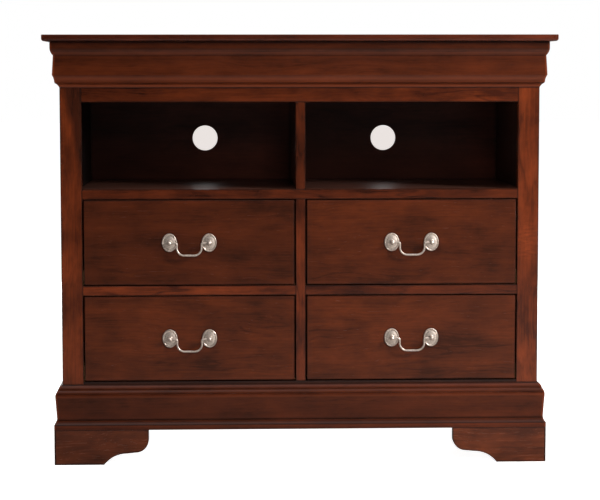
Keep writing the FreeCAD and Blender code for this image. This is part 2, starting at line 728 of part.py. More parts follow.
def make_rosette(name):
    """An oval back plate: raised rim, dished field, inner ridge and a boss with the bolt hole."""

    def inset_disc(part, inset, thick):
        tall = f"RosetteHeight / 2 - {inset}"
        wide = f"RosetteWidth / 2 - {inset}"
        return oval_disc(f"{name} {part}", tall, wide, thick)

    ridge = "(RosetteRimWidth + RosetteRingWidth)"
    inside_ridge = f"({ridge} + RosetteRidgeWidth)"
    rim = cut(f"{name} rim", inset_disc("rim disc", "0", "RosetteRimThick"),
              inset_disc("rim bore", "RosetteRimWidth", "RosetteRimThick + 1"))
    field = inset_disc("field", "RosetteRimWidth / 2", "RosetteDish")
    raised = cut(f"{name} ridge", inset_disc("ridge disc", ridge, "RosetteRidgeThick"),
                 inset_disc("ridge bore", inside_ridge, "RosetteRidgeThick + 1"))
    boss = oval_disc(f"{name} boss", "RosetteBoss * RosetteHeight / RosetteWidth", "RosetteBoss",
                     "RosetteBossThick")
    whole = fuse(f"{name} plate", [rim, field, raised, boss])
    return cut(name, whole, drill(f"{name} hole", "BoltRadius + BoltClear", "-RosetteBossThick - 1",
                                  "RosetteBossThick + 2"))


def make_post(label, inward):
    """A bolt with a neck and a ball head, cross-bored on its inner side for the bail's pin."""
    body = new_body(label)
    inner_end = "(DrawerFrontThick + BoltEnd)"
    neck_end = "(PivotReach - sqrt(HeadRadius^2 - NeckRadius^2))"
    outline = [
        ("0", inner_end),
        ("0", "-PivotReach - HeadRadius"),
        ("NeckRadius", f"-{neck_end}", "HeadRadius", 1),
        ("NeckRadius", "-RosetteBossThick"),
        ("BoltRadius", "-RosetteBossThick"),
        ("BoltRadius", inner_end),
    ]
    sketch = trace(new_sketch(body, "XY_Plane"), outline)
    turned = body.newObject("PartDesign::Revolution", "revolution")
    turned.Profile = sketch
    turned.ReferenceAxis = (sketch, ["V_Axis"])
    turned.Angle = 360
    doc.recompute()
    bore = new_sketch(body, "YZ_Plane", f"{-inward} * (PinEnd - WireClear)")
    ring(bore, "-PivotReach", "0", "WireRadius + WireClear")
    pocket(body, bore, "HeadRadius + PinEnd", backward=inward > 0)
    return body


def make_nut(label):
    """A hexagon nut on the bolt, against the back of the drawer front."""
    hexagon = doc.addObject("Part::Prism", "prism")
    hexagon.Label = f"{label} blank"
    hexagon.Polygon = 6
    hexagon.setExpression("Circumradius", bind("NutRadius"))
    hexagon.setExpression("Height", bind("NutThick"))
    along_y = FreeCAD.Rotation(FreeCAD.Vector(1, 0, 0), -90)
    hexagon.Placement = FreeCAD.Placement(FreeCAD.Vector(0, 0, 0), along_y)
    hexagon.setExpression("Placement.Base.y", bind("DrawerFrontThick"))
    hole = drill(f"{label} hole", "BoltRadius + NutPlay", "DrawerFrontThick - 1", "NutThick + 2")
    return cut(label, hexagon, hole)


def make_bail(label):
    """The swinging handle: a wire from pin to pin through two knees, two legs and a bar."""
    body = new_body(label)
    leg = "(BailWidth / 2)"
    pin = "(PullSpacing / 2 - PinEnd)"
    path = new_sketch(body, "XZ_Plane")
    trace(path, [
        (f"-{pin}", "0"),
        (f"-{leg} - BailKnee", "0"),
        (f"-{leg}", "-BailKnee", "BailKnee", -1),
        (f"-{leg}", "BailRound - BailDrop"),
        (f"-{leg} + BailRound", "-BailDrop", "BailRound", 1),
        (f"{leg} - BailRound", "-BailDrop"),
        (leg, "BailRound - BailDrop", "BailRound", 1),
        (leg, "-BailKnee"),
        (f"{leg} + BailKnee", "0", "BailKnee", -1),
        (pin, "0"),
    ], closed=False)
    section = ring(new_sketch(body, "YZ_Plane", f"-{pin}"), "0", "0", "WireRadius")
    doc.recompute()
    wire = body.newObject("PartDesign::AdditivePipe", "pipe")
    wire.Profile = section
    wire.Spine = (path, [f"Edge{number}" for number in range(1, 10)])
    doc.recompute()
    return body


def make_pull(name, sill, left):
    """Two rosettes, two posts with nuts, and a bail, on the front of one drawer."""
    middle = f"({left} + {DRAWER_WIDTH} / 2)"
    height = f"({sill} + DrawerLevelGap + {PULL_MIDDLE})"
    rosettes = []
    posts = []
    for side, sign in SIDES:
        spot = (f"{middle} + {sign} * PullSpacing / 2", FRONT, height)
        rosettes.append(place(make_rosette(f"{name} {side} rosette"), *spot))
        posts.append(place(make_post(f"{name} {side} post", -sign), *spot))
        posts.append(place(make_nut(f"{name} {side} nut"), *spot))
    keep(group(f"{name}_rosettes", rosettes), f"{name}_rosettes")
    keep(group(f"{name}_posts", posts), f"{name}_posts")
    bail = place(make_bail(f"{name} bail"), middle, f"{FRONT} - PivotReach", height)
    keep(bail, f"{name}_bail")


def make_drawers():
    """Four drawers: two bays on two levels."""
    for level, sill in LEVELS:
        for side, sign in SIDES:
            name = f"{level}_{side}_drawer"
            left_end, _ = across(sign, f"{DIVIDER_FACE} + DrawerSideGap", f"{STILE_EDGE} - DrawerSideGap")
            left = f"({left_end})"
            make_drawer_front(f"{name}_front", sill, left)
            make_drawer_box(name, sill, left)
            make_pull(name, sill, left)


# The whole chest

make_top()
make_moulding_set("cornice", cornice_outline(), "CorniceProject", "CorniceHeight", CORNICE_FOOT)
make_moulding_set("base", base_outline(), "BaseProject", "BaseHeight", "FootHeight")
make_face_frame()
make_carcase()
make_runners()
make_feet()
make_drawers()
doc.recompute()

# Checks and export

for item in doc.Objects:
    if "Invalid" in item.State or "Error" in item.State:
        raise RuntimeError(f"{item.Label} failed: {item.State}")
for node in nodes:
    if node.Shape.isNull() or not node.Shape.isValid() or not node.Shape.Solids:
        raise RuntimeError(f"{node.Label} has no sound shape")
os.makedirs("parts", exist_ok=True)
for node in nodes:
    node.Shape.exportStep(f"parts/{node.Label}.step")
print(len(nodes), "nodes", sum(len(node.Shape.Solids) for node in nodes), "solids")
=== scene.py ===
import json
import math

import bpy
from mathutils import Euler, Matrix, Vector

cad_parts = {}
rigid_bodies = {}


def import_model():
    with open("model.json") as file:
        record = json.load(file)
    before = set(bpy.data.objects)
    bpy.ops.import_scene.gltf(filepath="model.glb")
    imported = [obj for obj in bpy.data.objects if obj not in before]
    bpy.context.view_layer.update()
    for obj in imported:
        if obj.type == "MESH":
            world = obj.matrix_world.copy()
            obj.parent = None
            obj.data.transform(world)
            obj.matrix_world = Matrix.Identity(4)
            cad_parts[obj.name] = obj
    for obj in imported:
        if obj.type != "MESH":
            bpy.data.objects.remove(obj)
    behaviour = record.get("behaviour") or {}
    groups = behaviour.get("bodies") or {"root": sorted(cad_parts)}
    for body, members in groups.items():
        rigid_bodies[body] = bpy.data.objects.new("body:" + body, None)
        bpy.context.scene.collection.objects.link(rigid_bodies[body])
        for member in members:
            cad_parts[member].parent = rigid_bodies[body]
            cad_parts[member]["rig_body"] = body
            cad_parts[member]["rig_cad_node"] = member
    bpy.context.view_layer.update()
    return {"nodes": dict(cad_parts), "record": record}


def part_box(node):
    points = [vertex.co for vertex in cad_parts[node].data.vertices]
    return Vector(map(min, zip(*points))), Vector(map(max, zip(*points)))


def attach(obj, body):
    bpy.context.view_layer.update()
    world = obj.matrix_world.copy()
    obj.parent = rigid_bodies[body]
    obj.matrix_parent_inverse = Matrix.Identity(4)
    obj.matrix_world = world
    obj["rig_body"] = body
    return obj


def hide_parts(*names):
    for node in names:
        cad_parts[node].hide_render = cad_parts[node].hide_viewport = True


# Media chest: cherry-stained face frame, mouldings and drawers with antique nickel bail pulls.
# Metres, in the part's own frame: +Z up, -Y the front, the middle of the footprint at the origin.

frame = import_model()
SLOTS = {part["node"]: part["material_slot"] for part in frame["record"]["subparts"]}
BODIES = {node: body for body, nodes in frame["record"]["behaviour"]["bodies"].items() for node in nodes}
DRAWERS = [f"{level}_{side}_drawer" for level in ("lower", "upper") for side in ("left", "right")]
MM = 0.001
RIGHT_ANGLE = math.radians(90)
MERGE_WITHIN = 0.002 * MM
FLAT_WITHIN = math.radians(0.4)
SHARP_OVER = math.radians(40)
SMOOTH_UNDER = math.radians(50)
JUST_BEHIND = 0.5 * MM


# Modelling helpers


def pick(piece):
    """Makes a piece the only selected and active object."""
    bpy.ops.object.select_all(action="DESELECT")
    piece.select_set(True)
    bpy.context.view_layer.objects.active = piece


def copy_of(node, name):
    """A copy of a node's shape with a mesh of its own, still in loose triangles."""
    pick(frame["nodes"][node])
    bpy.ops.object.duplicate()
    piece = bpy.context.active_object
    piece.name = name
    piece.parent = None
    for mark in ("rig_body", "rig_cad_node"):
        del piece[mark]
    piece.data.name = name
    return piece


def join_triangles(piece):
    """Joins a copied mesh's loose triangles into whole faces."""
    pick(piece)
    bpy.ops.object.mode_set(mode="EDIT")
    bpy.ops.mesh.select_all(action="SELECT")
    bpy.ops.mesh.remove_doubles(threshold=MERGE_WITHIN)
    bpy.ops.mesh.dissolve_limited(angle_limit=FLAT_WITHIN)
    bpy.ops.object.mode_set(mode="OBJECT")
    return piece


def ease_edges(piece, width):
    """Takes the sharp edges off a board and shades its flats flat and its rounds round."""
    pick(piece)
    bevel = piece.modifiers.new("eased edges", "BEVEL")
    bevel.width = width
    bevel.segments = 2
    bevel.limit_method = "ANGLE"
    bevel.angle_limit = SHARP_OVER
    bpy.ops.object.modifier_apply(modifier=bevel.name)
    bpy.ops.object.shade_smooth_by_angle(angle=SMOOTH_UNDER)
    weighted = piece.modifiers.new("flat faces stay flat", "WEIGHTED_NORMAL")
    weighted.keep_sharp = True
    bpy.ops.object.modifier_apply(modifier=weighted.name)
    return piece


def finish_with(piece, material):
    """Gives a piece one material all over."""
    piece.data.materials.clear()
    piece.data.materials.append(material)


def stand_for(piece, node, *more):
    """Lets a new piece, and any more of the same node, ride where the node does, with the node hidden."""
    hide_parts(node)
    for part in (piece, *more):
        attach(part, BODIES[node])


def split_off(piece, wanted, name):
    """Parts from a loose copy the solid that a test finds just behind its faces."""
    pick(piece)
    bpy.ops.object.mode_set(mode="EDIT")
    bpy.ops.mesh.select_mode(type="FACE")
    bpy.ops.mesh.select_all(action="DESELECT")
    bpy.ops.object.mode_set(mode="OBJECT")
    for face in piece.data.polygons:
        face.select = wanted(face.center - JUST_BEHIND * face.normal)
    bpy.ops.object.mode_set(mode="EDIT")
    bpy.ops.mesh.separate(type="SELECTED")
    bpy.ops.mesh.select_mode(type="VERT")
    bpy.ops.object.mode_set(mode="OBJECT")
    parted = [found for found in bpy.context.selected_objects if found != piece][0]
    parted.name = name
    parted.data.name = name
    return parted


# Shader helpers


def srgb(red, green, blue):
    """A colour from its three display values, 0 to 255, as a shader wants it."""
    linear = []
    for part in (red, green, blue):
        share = part / 255
        linear.append(share / 12.92 if share <= 0.04045 else ((share + 0.055) / 1.055) ** 2.4)
    return (*linear, 1)


def plug(tree, made, wires):
    """Wires a node's inputs to other nodes, or sets them, by name or number."""
    for socket, source in wires.items():
        if isinstance(source, bpy.types.NodeSocket):
            tree.links.new(source, made.inputs[socket])
        else:
            made.inputs[socket].default_value = source


def add(tree, kind, wires, **options):
    """Adds a node, sets its options and plugs in its inputs."""
    made = tree.nodes.new(kind)
    for option, setting in options.items():
        setattr(made, option, setting)
    plug(tree, made, wires)
    return made


def calc(tree, operation, first, second=0.0):
    """One step of arithmetic."""
    return add(tree, "ShaderNodeMath", {0: first, 1: second}, operation=operation).outputs[0]


def remap(tree, source, low, high, to_low=0.0, to_high=1.0):
    """A value carried from one range to another, with its ends held."""
    wires = {"Value": source, "From Min": low, "From Max": high, "To Min": to_low, "To Max": to_high}
    return add(tree, "ShaderNodeMapRange", wires).outputs[0]


def blend(tree, share, first, second):
    """Two colours mixed."""
    return add(tree, "ShaderNodeMix", {0: share, 6: first, 7: second}, data_type="RGBA").outputs[2]


def scaled(tree, colour, factor):
    """A colour made paler or darker by a factor."""
    return add(tree, "ShaderNodeVectorMath", {0: colour, "Scale": factor}, operation="SCALE").outputs[0]


def split_place(tree, place):
    """The X, Y and Z of a place."""
    return add(tree, "ShaderNodeSeparateXYZ", {0: place}).outputs


def stretched(tree, place, factors):
    """A place scaled by its own factor along each axis."""
    return add(tree, "ShaderNodeVectorMath", {0: place, 1: factors}, operation="MULTIPLY").outputs[0]


def noise(tree, place, per_metre, detail=2.0, rough=0.5):
    """Noise with so many features to a metre along each axis."""
    spread = stretched(tree, place, per_metre)
    wires = {"Vector": spread, "Scale": 1.0, "Detail": detail, "Roughness": rough}
    return add(tree, "ShaderNodeTexNoise", wires).outputs[0]


def new_group(name, inputs, outputs):
    """A shader node group with named inputs and outputs, and its two end nodes."""
    group = bpy.data.node_groups.new(name, "ShaderNodeTree")
    for label, kind, default in inputs:
        socket = group.interface.new_socket(label, in_out="INPUT", socket_type=f"NodeSocket{kind}")
        if default is not None:
            socket.default_value = default
    for label, kind in outputs:
        group.interface.new_socket(label, in_out="OUTPUT", socket_type=f"NodeSocket{kind}")
    return group, group.nodes.new("NodeGroupInput").outputs, group.nodes.new("NodeGroupOutput").inputs


def use(tree, group, wires):
    """Places a node group in a material."""
    made = tree.nodes.new("ShaderNodeGroup")
    made.node_tree = group
    plug(tree, made, wires)
    return made.outputs


# Shared effects


# A wave texture repeats every 0.314 of its own units
WAVE_REPEAT = 0.314
# How many features to a metre each pattern has, along the grain and across it both ways
DRIFTS = (2.2, 8.0, 8.0)
STREAKS = (7.0, 280.0, 280.0)
PORES = (40.0, 900.0, 900.0)
BLOTCHES = (11.0, 24.0, 24.0)
WISPS = (5.0, 38.0, 38.0)
WISP_BREAKS = (4.0, 14.0, 14.0)
CLOUDS = (420.0, 420.0, 420.0)
SPECKS = (1500.0, 1500.0, 1500.0)
# How far the grain wanders off its line, where the log's heart lies, and how the log leans
WANDER = 0.07
LOG_HEART = (0.0, 0.09, 0.02)
LOG_LEAN = (0.0, math.radians(3), math.radians(4))
# How much paler than its stain a board is where it was rubbed through, in its pale curl, and where
# highlights are painted on edges and crowns
RUBBED_AND_HIGHLIT_PALER = 1.8


def make_grain():
    """A board's figure along X: growth rings, fine streaks, pores, blotches and dark wisps."""
    group, given, result = new_group(
        "board grain",
        [("Vector", "Vector", None), ("Ring Spacing", "Float", 0.02)],
        [("Rings", "Float"), ("Streaks", "Float"), ("Pores", "Float"), ("Blotches", "Float"),
         ("Wisps", "Float")],
    )
    place = given["Vector"]
    # Bend the straight lines of the patterns
    drift = noise(group, place, DRIFTS, detail=3.0)
    bend = calc(group, "MULTIPLY", calc(group, "SUBTRACT", drift, 0.5), WANDER)
    wander = add(group, "ShaderNodeCombineXYZ", {"Y": bend, "Z": bend}).outputs[0]
    bent = add(group, "ShaderNodeVectorMath", {0: place, 1: wander}, operation="ADD").outputs[0]
    # Rings round the heart of a leaning log
    log = add(group, "ShaderNodeMapping", {"Vector": bent, "Location": LOG_HEART, "Rotation": LOG_LEAN})
    rings = add(group, "ShaderNodeTexWave", {
        "Vector": log.outputs[0], "Scale": calc(group, "DIVIDE", WAVE_REPEAT, given["Ring Spacing"]),
        "Distortion": 4.0, "Detail": 3.0, "Detail Scale": 0.6, "Detail Roughness": 0.6,
    }, wave_type="RINGS", rings_direction="X")
    # Patterns along the grain, and thin dark lines that break off
    streak = noise(group, bent, STREAKS, detail=4.0, rough=0.65)
    pore = noise(group, bent, PORES, detail=1.0)
    blotch = noise(group, bent, BLOTCHES, detail=4.0, rough=0.6)
    from_line = calc(group, "ABSOLUTE", calc(group, "SUBTRACT", noise(group, bent, WISPS), 0.5))
    broken = remap(group, noise(group, place, WISP_BREAKS, detail=1.0), 0.48, 0.62)
    wisp = calc(group, "MULTIPLY", remap(group, from_line, 0.0, 0.045, 1.0, 0.0), broken)
    group.links.new(rings.outputs[1], result["Rings"])
    group.links.new(streak, result["Streaks"])
    group.links.new(remap(group, pore, 0.6, 0.75), result["Pores"])
    group.links.new(blotch, result["Blotches"])
    group.links.new(wisp, result["Wisps"])
    return group


def make_wood_finish():
    """Stain and lacquer over grain, with dark glaze and painted shade by one mask, and stain rubbed thin
    and painted highlights by another.
    """
    group, given, result = new_group(
        "stained and lacquered",
        [
            ("Rings", "Float", 0.5), ("Streaks", "Float", 0.5), ("Pores", "Float", 0.0),
            ("Blotches", "Float", 0.5), ("Wisps", "Float", 0.0), ("Corner", "Float", 0.0),
            ("Edge", "Float", 0.0),
            ("Pale", "Color", None), ("Deep", "Color", None), ("Glaze", "Color", None),
            ("Ring Contrast", "Float", 0.15), ("Streak Contrast", "Float", 0.7),
            ("Blotch Contrast", "Float", 1.7), ("Wisp Contrast", "Float", 0.35),
            ("Glaze Amount", "Float", 0.8), ("Rub And Highlight", "Float", 0.5), ("Gloss", "Float", 0.3),
        ],
        [("Color", "Color"), ("Roughness", "Float"), ("Height", "Float")],
    )
    tone = 0.5
    for mask, contrast in (("Rings", "Ring Contrast"), ("Streaks", "Streak Contrast"),
                           ("Blotches", "Blotch Contrast")):
        swing = calc(group, "SUBTRACT", given[mask], 0.5)
        tone = calc(group, "ADD", tone, calc(group, "MULTIPLY", swing, given[contrast]))
    tone = calc(group, "SUBTRACT", tone, calc(group, "MULTIPLY", given["Wisps"], given["Wisp Contrast"]))
    colour = blend(group, remap(group, tone, 0.0, 1.0), given["Deep"], given["Pale"])
    colour = blend(group, calc(group, "MULTIPLY", given["Pores"], 0.3), colour, given["Glaze"])
    # Stain rubbed thin at edges and crowns, which also serves as painted highlight there, and the pale
    # curl
    rubbed_and_highlit = calc(group, "MULTIPLY", given["Edge"], given["Rub And Highlight"])
    colour = blend(group, rubbed_and_highlit, colour, scaled(group, given["Pale"], RUBBED_AND_HIGHLIT_PALER))
    # Glaze, dark figure and painted shade in corners and grooves, all in the glaze's near-black
    glaze_and_shade_share = calc(group, "MULTIPLY", given["Corner"], given["Glaze Amount"])
    colour = blend(group, glaze_and_shade_share, colour, given["Glaze"])
    uneven = calc(group, "MULTIPLY", calc(group, "SUBTRACT", given["Streaks"], 0.5), 0.1)
    rough = calc(group, "ADD", given["Gloss"], uneven)
    rough = calc(group, "ADD", rough, calc(group, "MULTIPLY", given["Pores"], 0.02))
    relief = calc(group, "SUBTRACT", calc(group, "MULTIPLY", given["Streaks"], 0.4), given["Pores"])
    group.links.new(colour, result["Color"])
    group.links.new(rough, result["Roughness"])
    group.links.new(relief, result["Height"])
    return group


def make_patina():
    """Satin nickel that has darkened in its hollows and stayed bright where hands rub it."""
    group, given, result = new_group(
        "nickel patina",
        [("Vector", "Vector", None), ("Corner", "Float", 0.0), ("Bright", "Color", None),
         ("Dark", "Color", None), ("Gloss", "Float", 0.3)],
        [("Color", "Color"), ("Roughness", "Float"), ("Height", "Float")],
    )
    cloud = noise(group, given["Vector"], CLOUDS, detail=4.0, rough=0.7)
    speck = noise(group, given["Vector"], SPECKS, detail=1.0)
    tarnish = calc(group, "ADD", given["Corner"], remap(group, cloud, 0.42, 0.68, 0.0, 0.7))
    held = remap(group, tarnish, 0.0, 1.0)
    colour = blend(group, held, given["Bright"], given["Dark"])
    rough = calc(group, "ADD", given["Gloss"], calc(group, "MULTIPLY", held, 0.25))
    group.links.new(colour, result["Color"])
    group.links.new(rough, result["Roughness"])
    group.links.new(speck, result["Height"])
    return group


GRAIN = make_grain()
WOOD_FINISH = make_wood_finish()
PATINA = make_patina()


# Materials


def new_material(name):
    """An empty material, its node tree, its output and its object coordinates."""
    material = bpy.data.materials.new(name)
    material.use_nodes = True
    tree = material.node_tree
    tree.nodes.clear()
    output = tree.nodes.new("ShaderNodeOutputMaterial")
    coordinates = tree.nodes.new("ShaderNodeTexCoord").outputs["Object"]
    return material, tree, output, coordinates


# How far from a corner glaze and painted shade reach on wood and tarnish gathers on nickel, and how wide
# an edge is
GLAZE_AND_SHADE_REACH = 7 * MM
TARNISH_REACH = 4 * MM
EDGE_REACH = 3 * MM
# How much of the glaze stays along an edge that holds it
EDGE_HOLDS = 0.85


def corner_mask(tree, reach):
    """Where a surface is shut in by others within a reach."""
    open_sky = add(tree, "ShaderNodeAmbientOcclusion", {"Distance": reach}, samples=6)
    return remap(tree, open_sky.outputs["AO"], 0.9, 0.4)


def edge_mask(tree, reach):
    """Where a surface is within a reach of its own board's edges."""
    depth = add(tree, "ShaderNodeAmbientOcclusion", {"Distance": reach}, samples=6, inside=True,
                only_local=True)
    return remap(tree, depth.outputs["AO"], 0.95, 0.55)


def at_heights(tree, place, lines):
    """How near a place is to any of some level lines, each with its own half width and strength."""
    height = split_place(tree, place)["Z"]
    nearest = 0.0
    for middle, reach, strength in lines:
        away = calc(tree, "ABSOLUTE", calc(tree, "SUBTRACT", height, middle * MM))
        nearest = calc(tree, "MAXIMUM", nearest, remap(tree, away, 0.0, reach * MM, strength, 0.0))
    return nearest


# The dark figure's slanting edge lies square to this direction, between two distances along it, and frays
DARK_SLANT = (0.983, 0.0, 0.182)
DARK_EDGE = (-0.322, -0.311)
DARK_FRAY = 12 * MM
DARK_STRENGTH = 0.78
FRAYS = (60.0, 60.0, 14.0)
# The pale curl's middle in a place flattened by these factors, and where its cloud is full and has ended
CURL_FLATTENED = (1.0, 0.0, 0.55)
CURL_MIDDLE = (0.453, 0.0, 0.245)
CURL_FULL = 5 * MM
CURL_ENDS = 34 * MM
RIPPLES = (45.0, 60.0, 210.0)


def dark_figure(tree, place):
    """The dark heartwood over the upper inner half of the left stile, with a frayed slanting edge."""
    along = add(tree, "ShaderNodeVectorMath", {0: place, 1: DARK_SLANT}, operation="DOT_PRODUCT")
    frayed = calc(tree, "MULTIPLY", noise(tree, place, FRAYS, detail=3.0), DARK_FRAY)
    return remap(tree, calc(tree, "ADD", along.outputs["Value"], frayed), *DARK_EDGE, 0.0, DARK_STRENGTH)


def curly_figure(tree, place):
    """The pale curl halfway up the right stile, with fine ripples across its grain."""
    flat = stretched(tree, place, CURL_FLATTENED)
    away = add(tree, "ShaderNodeVectorMath", {0: flat, 1: CURL_MIDDLE}, operation="DISTANCE")
    cloud = remap(tree, away.outputs["Value"], CURL_FULL, CURL_ENDS, 1.0, 0.0)
    ripple = remap(tree, noise(tree, place, RIPPLES), 0.4, 0.65, 0.25, 1.0)
    return calc(tree, "MULTIPLY", cloud, ripple)


# Where a board's painted light and shade starts and stops changing, out from the middle and up through the
# cubbies
NEAR_MIDDLE = 50 * MM
NEAR_END = 400 * MM
CUBBY_LOW = 560 * MM
CUBBY_HIGH = 710 * MM


def painted_light_spread(tree, place, left, right, upward):
    """Painted light and shade: how much paler a board is painted than its slot, over its left half, its
    right half and upwards.
    """
    spot = split_place(tree, place)
    in_left = calc(tree, "LESS_THAN", spot["X"], 0.0)
    in_right = calc(tree, "SUBTRACT", 1.0, in_left)
    over_left = remap(tree, spot["X"], -NEAR_END, -NEAR_MIDDLE, *left)
    over_right = remap(tree, spot["X"], NEAR_MIDDLE, NEAR_END, *right)
    sideways = calc(tree, "ADD", calc(tree, "MULTIPLY", in_left, over_left),
                    calc(tree, "MULTIPLY", in_right, over_right))
    return calc(tree, "MULTIPLY", sideways, remap(tree, spot["Z"], CUBBY_LOW, CUBBY_HIGH, *upward))


def only_before(tree, place, factor, limit):
    """A factor that counts only in front of a limit along Y, and is 1 behind it."""
    before = calc(tree, "LESS_THAN", split_place(tree, place)["Y"], limit)
    return calc(tree, "ADD", 1.0, calc(tree, "MULTIPLY", before, calc(tree, "SUBTRACT", factor, 1.0)))


# Finishes: for each wooden slot the display values of its pale and deep tones, the spacing of its rings,
# how rough and how bright its lacquer is, then how strong its figure and its relief are, how far its
# edges and crowns are painted paler for rubbed stain and painted highlights, and the colour of the glaze
# and painted shade in its corners and how strongly it shows there
# The near-black of glaze in pores and joints, also used as painted shade in corners and grooves
GLAZE_AND_SHADE = srgb(18, 8, 5)
# Old wax in bare wood's pores, also used as painted shade in its corners
OLD_WAX_AND_SHADE = srgb(96, 66, 40)


def recipe(pale, deep, rings, gloss, shine, figure=1.0, relief=0.05, rub=0.5, glaze=GLAZE_AND_SHADE,
           stayed=0.9):
    """One slot's finish."""
    return {
        "pale": srgb(*pale), "deep": srgb(*deep), "rings": rings, "gloss": gloss, "shine": shine,
        "figure": figure, "relief": relief, "rub": rub, "glaze": glaze, "stayed": stayed,
    }


BARE = {"rub": 0.0, "glaze": OLD_WAX_AND_SHADE, "stayed": 0.3}
WOODS = {
    "stained_frame_wood": recipe((104, 42, 15), (56, 19, 5), 0.022, 0.22, 0.4, figure=1.4),
    "stained_top": recipe((86, 33, 14), (52, 18, 6), 0.030, 0.22, 0.5),
    "stained_side_veneer": recipe((88, 35, 14), (54, 19, 7), 0.034, 0.24, 0.3),
    "stained_moulding": recipe((84, 34, 13), (52, 19, 6), 0.026, 0.22, 0.3, rub=0.75),
    "stained_foot_wood": recipe((88, 38, 15), (54, 21, 7), 0.030, 0.26, 0.45, figure=1.5),
    "stained_drawer_front": recipe((84, 34, 12), (48, 18, 6), 0.036, 0.25, 0.3, figure=1.1),
    "stained_cubby_lining": recipe((40, 21, 15), (22, 12, 9), 0.030, 0.34, 0.3, relief=0.02),
    "stained_back_panel": recipe((54, 24, 16), (34, 14, 9), 0.040, 0.3, 0.2, relief=0.02),
    "bare_panel": recipe((176, 140, 100), (140, 104, 70), 0.034, 0.5, 0.3, **BARE),
    "runner_wood": recipe((190, 152, 108), (150, 112, 74), 0.012, 0.5, 0.3, **BARE),
    "drawer_box_wood": recipe((206, 172, 128), (170, 132, 90), 0.014, 0.5, 0.3, **BARE),
    "drawer_bottom_ply": recipe((200, 166, 122), (172, 136, 94), 0.040, 0.5, 0.3, **BARE),
}
# Boards painted darker or paler than the rest of their slot, partly for their own stain and partly as
# painted light and shade: the bottom rail darkened for the shade it lies in, and the shelf board, back
# panel and cubby liners set for the light that falls into the cubbies
STAIN_AND_SHADE_TONES = {
    "top_board": 0.83, "cornice_front": 0.92, "base_front": 0.84,
    "left_stile": 0.93, "right_stile": 1.02, "top_rail": 0.64, "shelf_rail": 0.62,
    "left_mid_rail": 1.02, "right_mid_rail": 0.70, "bottom_rail": 0.22,
    "cubby_divider": 0.55, "drawer_partition": 0.87,
    "shelf_board": 4.5, "cubby_side_liners": 0.5, "back_panel": 1.7,
    "upper_left_drawer_front": 0.79, "upper_right_drawer_front": 0.97,
    "lower_left_drawer_front": 1.03, "lower_right_drawer_front": 1.09,
    "front_left_foot_cross_bracket": 0.92, "front_right_foot_cross_bracket": 1.22,
}
# Heights of lines painted darker, as painted shade under the top board, in the cornice's cove, at the top
# of the frieze and under the cornice and as glaze in the grooves, and of crowns painted paler, for stain
# rubbed off and as painted highlights, each with its half width, in millimetres, and how far it goes there
SHADE_UNDER_CORNICE = [(750.6, 2.2, 0.8)]
SHADE_AND_GLAZE_LINES = {
    "cornice": [(841.0, 6.5, 1.0), (837.0, 16.0, 0.5), (827.0, 15.0, 0.5), (826.5, 4.0, 0.7),
                (813.8, 2.0, 0.7), (806.0, 14.0, 0.22), (751.0, 3.0, 1.0)],
    "base": [(159.8, 3.4, 1.0), (151.0, 1.8, 0.6), (142.4, 1.8, 0.6), (89.8, 3.8, 0.9), (84.5, 4.0, 0.5),
             (80.8, 2.6, 0.9), (70.4, 2.2, 0.9)],
    "top_rail": SHADE_UNDER_CORNICE,
    "left_stile": SHADE_UNDER_CORNICE,
    "right_stile": SHADE_UNDER_CORNICE,
}
RUBS_AND_HIGHLIGHTS = {
    "cornice": [(819.0, 2.0, 0.5), (768.5, 6.0, 0.5), (755.5, 3.0, 1.0)],
    "base": [(156.0, 2.2, 0.25), (136.5, 3.5, 0.5), (77.0, 2.5, 0.4)],
}
# Between the panel's face in the cubbies and its even rear face
BACK_PANEL_MIDDLE = 203 * MM
# Slots whose boards hold dark glaze along every edge
EDGE_GLAZED = ("stained_frame_wood", "stained_drawer_front", "stained_foot_wood")
# Boards painted paler and darker across themselves as painted light and shade, in the cubbies' backs and
# liners and from the left to the right of the top, top rail and base:
# factors at both ends of the left half, at both ends of the right half, and low and high
PAINTED_LIGHT_SPREADS = {
    "back_panel": ((0.75, 2.0), (0.9, 1.5), (0.7, 1.6)),
    "cubby_side_liners": ((0.2, 0.2), (7.0, 7.0), (0.7, 1.6)),
    "top_rail": ((0.78, 1.0), (1.0, 1.45), (1.0, 1.0)),
    "top_board": ((0.78, 0.93), (0.93, 1.12), (1.0, 1.0)),
    "base_front": ((0.83, 0.98), (0.98, 1.15), (1.0, 1.0)),
}
# How a board's place is turned so that its grain runs along the pattern's X
TURNS = {"x": (0.0, 0.0, 0.0), "y": (0.0, 0.0, -RIGHT_ANGLE), "z": (0.0, RIGHT_ANGLE, 0.0)}
# How far apart in the log two boards are cut
NEXT_CUT = 0.37
# How strongly streaks, blotches and wisps show in a board whose figure is 1, and how deep its relief is
STREAK_CONTRAST = 0.9
BLOTCH_CONTRAST = 1.8
WISP_CONTRAST = 0.25
WOOD_RELIEF = 0.15 * MM


def tinted(colour, tone):
    """A colour made darker or paler by a factor."""
    return (*[part * tone for part in colour[:3]], 1)


def board_grain(tree, place, rings, grain, cut):
    """A board's figure, with grain along an axis and cut from its own place in the log."""
    along = add(tree, "ShaderNodeMapping", {
        "Vector": place, "Rotation": TURNS[grain], "Location": (NEXT_CUT * cut, 0.0, 0.0),
    })
    return use(tree, GRAIN, {"Vector": along.outputs[0], "Ring Spacing": rings})


